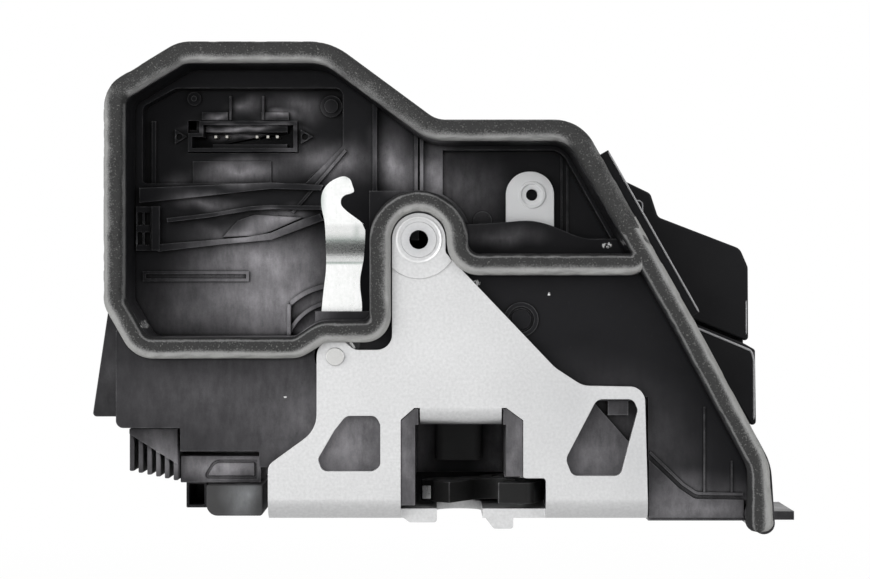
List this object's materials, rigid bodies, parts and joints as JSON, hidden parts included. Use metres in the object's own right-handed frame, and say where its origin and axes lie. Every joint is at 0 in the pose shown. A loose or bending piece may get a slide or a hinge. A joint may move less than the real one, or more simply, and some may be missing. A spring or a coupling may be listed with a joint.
{
  "type": "door latch actuator",
  "caption": "Car door latch with its lock actuator: bent steel plate with fishmouth, sealed black housing, hooked release lever, white knob lever and socket.",
  "frame": {"origin": "centre of the three shut-face screws, on the shut face, over the fishmouth's centreline", "axes": "+X along the shut face, +Y from the gasket's side towards the outside of the door, +Z away from the shut face into the door"},
  "size_m": [0.1882, 0.078, 0.1306],
  "materials": {
    "zinc_steel": "satin zinc plate",
    "lever_steel": "bright zinc plate",
    "rivet_steel": "turned steel",
    "spring_steel": "drawn wire",
    "black_housing": "moulded black plastic",
    "black_cover": "moulded black plastic",
    "grey_grommet": "dark rubber",
    "foam": "grey foam",
    "white_plastic": "natural white plastic",
    "claw_plastic": "moulded black plastic",
    "contact_tin": "tinned contacts",
    "brass_lead": "stamped brass",
    "gear_plastic": "natural plastic",
    "motor_steel": "drawn steel"
  },
  "bodies": {
    "carrier": {"backing_plate": "zinc_steel", "cable_bracket": "black_cover", "cable_grommet": "grey_grommet", "claw_rivet": "rivet_steel", "connector_pins": "contact_tin", "connector_shell": "black_housing", "cover_screws": "rivet_steel", "drip_hood": "black_cover", "end_bush": "brass_lead", "finned_guard": "black_cover", "fishmouth_liner": "black_cover", "knob_lever_pin": "black_housing", "latch_body": "black_housing", "latch_plate": "zinc_steel", "lead_frame": "brass_lead", "lever_rivet": "rivet_steel", "lever_spring": "spring_steel", "locking_lever_pin": "rivet_steel", "lower_side_cover": "black_cover", "main_housing": "black_housing", "microswitches": "black_cover", "motor_can": "motor_steel", "motor_endcap": "gear_plastic", "outer_pivot_screw": "rivet_steel", "pawl_rivet": "rivet_steel", "perimeter_seal": "foam", "rear_cover": "black_cover", "striker_bumper": "grey_grommet", "upper_side_cover": "black_cover", "worm_wheel_axle": "rivet_steel"},
    "claw": {"claw_core": "rivet_steel", "claw_overmould": "claw_plastic"},
    "pawl": {"pawl_core": "rivet_steel", "pawl_overmould": "claw_plastic"},
    "inside_lever": {"inside_release_lever": "lever_steel"},
    "knob_lever": {"lock_knob_lever": "white_plastic"},
    "locking": {"locking_lever": "gear_plastic"},
    "wheel": {"worm_wheel": "gear_plastic"},
    "armature": {"worm_shaft": "motor_steel"},
    "outside_lever": {"outside_release_lever": "zinc_steel"},
    "key_cam": {"key_cylinder_cam": "gear_plastic"}
  },
  "joints": [
    {"name": "claw_turn", "type": "hinge", "parent": "carrier", "child": "claw", "pos_m": [0.018, 0, 0.0067], "axis": [0, 0, 1], "range_deg": [-60, 0], "stiffness_Nm_per_rad": 0.05},
    {"name": "pawl_turn", "type": "hinge", "parent": "carrier", "child": "pawl", "pos_m": [-0.028, -0.003, 0.0067], "axis": [0, 0, 1], "range_deg": [-16, 0], "stiffness_Nm_per_rad": 0.03},
    {"name": "inside_lever_turn", "type": "hinge", "parent": "carrier", "child": "inside_lever", "pos_m": [-0.0331, -0.02225, 0.0432], "axis": [0, -1, 0], "range_deg": [0, 25], "stiffness_Nm_per_rad": 0.05, "deforming": ["lever_spring"]},
    {"name": "wheel_turn", "type": "hinge", "parent": "carrier", "child": "wheel", "pos_m": [-0.038, 0.0235, 0.09], "axis": [0, -1, 0], "range_deg": [-30, 30]},
    {"name": "knob_lever_turn", "type": "hinge", "parent": "carrier", "child": "knob_lever", "pos_m": [0.0164, -0.0031, 0.053], "axis": [0, -1, 0], "range_deg": [-10.5, 10.5]},
    {"name": "locking_lever_turn", "type": "hinge", "parent": "carrier", "child": "locking", "pos_m": [-0.008, 0.0115, 0.09], "axis": [0, -1, 0], "range_deg": [-13.6, 13.6]},
    {"name": "armature_turn", "type": "hinge", "parent": "carrier", "child": "armature", "pos_m": [-0.038, 0.0235, 0.071], "axis": [-1, 0, 0], "range_deg": [-901, 901]},
    {"name": "outside_lever_turn", "type": "hinge", "parent": "carrier", "child": "outside_lever", "pos_m": [-0.014, 0.03965, 0.066], "axis": [0, -1, 0], "range_deg": [0, 20], "stiffness_Nm_per_rad": 0.05},
    {"name": "key_cam_turn", "type": "hinge", "parent": "carrier", "child": "key_cam", "pos_m": [0.026, 0.038, 0.072], "axis": [0, -1, 0], "range_deg": [-45, 45]}
  ],
  "couplings": [
    {"joint": "knob_lever_turn", "follows": "wheel_turn", "ratio": 0.333},
    {"joint": "locking_lever_turn", "follows": "wheel_turn", "ratio": -0.44},
    {"joint": "armature_turn", "follows": "wheel_turn", "ratio": 30}
  ]
}
